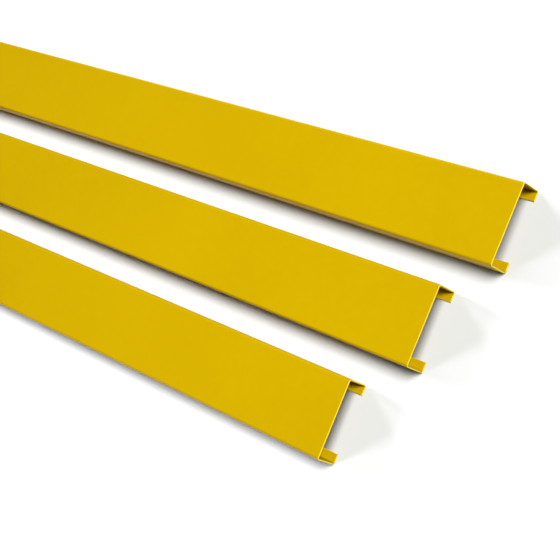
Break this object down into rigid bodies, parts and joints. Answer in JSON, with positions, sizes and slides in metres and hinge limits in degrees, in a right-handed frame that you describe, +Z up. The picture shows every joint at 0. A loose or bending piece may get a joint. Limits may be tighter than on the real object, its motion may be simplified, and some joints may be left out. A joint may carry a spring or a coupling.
{
  "type": "wheel stop rail set",
  "caption": "Loose yellow lipped-channel steel rails lying open side down in parallel, used as parking wheel stops or low floor guard rails.",
  "frame": {"origin": "on the floor, at the centre of the bounding box of all the rails", "axes": "+X along the rails, towards the end where the rear rail stands out furthest; +Y from the front rail to the rear rail; +Z up, from the lips to the webs"},
  "size_m": [2.18, 0.56, 0.05],
  "materials": {
    "yellow_powder_coat": "satin traffic-yellow powder coat on folded sheet steel, cut edges coated too"
  },
  "bodies": {
    "middle_rail": {"rail_middle": "yellow_powder_coat"},
    "rear_rail": {"rail_rear": "yellow_powder_coat"},
    "front_rail": {"rail_front": "yellow_powder_coat"}
  },
  "joints": [
    {"name": "rear_rail_lift", "type": "slide", "parent": "middle_rail", "child": "rear_rail", "axis": [0, 0, 1], "range_m": [0, 0.3]},
    {"name": "front_rail_lift", "type": "slide", "parent": "middle_rail", "child": "front_rail", "axis": [0, 0, 1], "range_m": [0, 0.3]}
  ]
}
